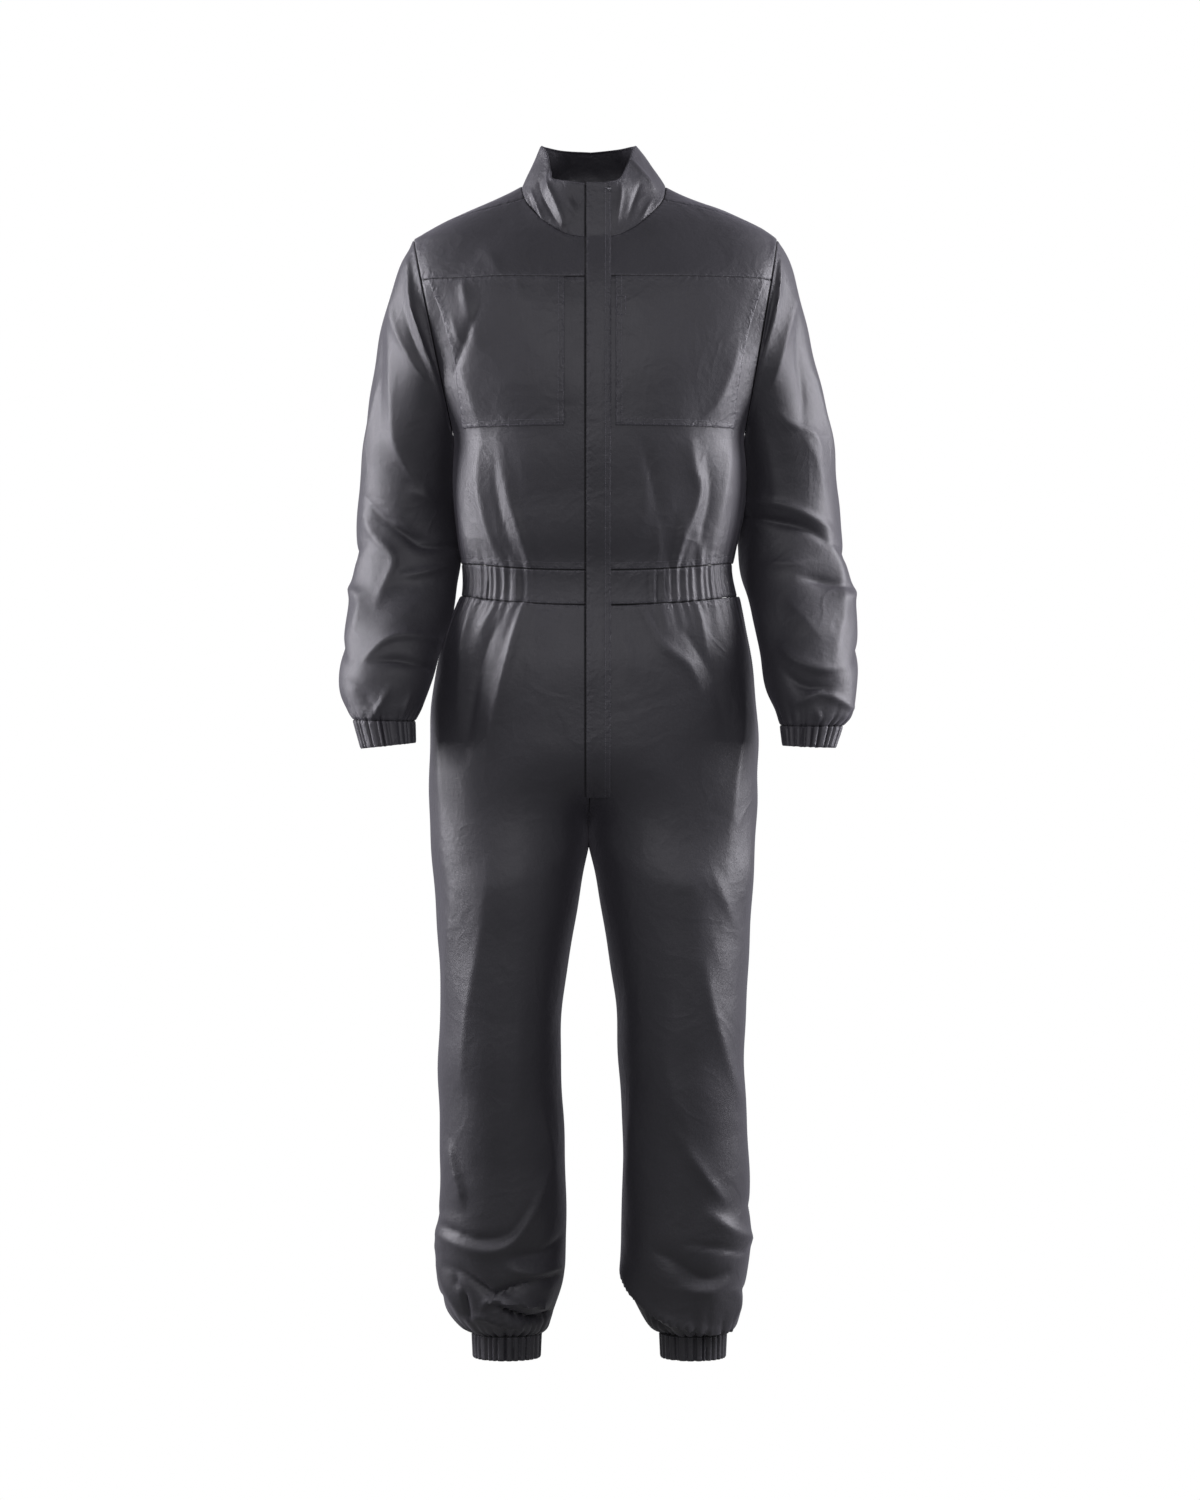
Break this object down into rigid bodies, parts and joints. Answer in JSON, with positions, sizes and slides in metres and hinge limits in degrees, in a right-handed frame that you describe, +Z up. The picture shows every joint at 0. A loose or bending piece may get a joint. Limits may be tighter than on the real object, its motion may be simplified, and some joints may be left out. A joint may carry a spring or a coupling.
{
  "type": "boiler suit",
  "caption": "Long-sleeved work coverall with a stand collar, covered front zip, chest patch pockets and elastic at waist, wrists and ankles, kept in its worn shape.",
  "frame": {"origin": "inside the neck opening, on the collar seam's level at the sides of the neck, where the wearer's neck carries the suit", "axes": "+Z up, -Y towards the front with the zip, +X towards the wearer's left sleeve"},
  "size_m": [0.6783, 0.277, 1.6035],
  "materials": {
    "cloth": "dark grey twill",
    "band": "dark grey twill over elastic",
    "zip_tape": "black woven tape with moulded teeth",
    "label": "plain brown woven tab",
    "metal": "dark metal"
  },
  "bodies": {
    "root": {"ankle_cuff_left": "band", "ankle_cuff_right": "band", "back": "cloth", "back_yoke": "cloth", "chest_pocket_left": "cloth", "chest_pocket_right": "cloth", "collar": "cloth", "collar_stud": "metal", "front_flap": "cloth", "front_left": "cloth", "front_right": "cloth", "front_yoke_left": "cloth", "front_yoke_right": "cloth", "leg_back_left": "cloth", "leg_back_right": "cloth", "leg_front_left": "cloth", "leg_front_right": "cloth", "side_label": "label", "sleeve_top_left": "cloth", "sleeve_top_right": "cloth", "sleeve_under_left": "cloth", "sleeve_under_right": "cloth", "waistband_back": "band", "waistband_front_left": "band", "waistband_front_right": "band", "wrist_cuff_left": "band", "wrist_cuff_right": "band", "zip_slider": "metal", "zip_tape": "zip_tape"}
  },
  "joints": []
}
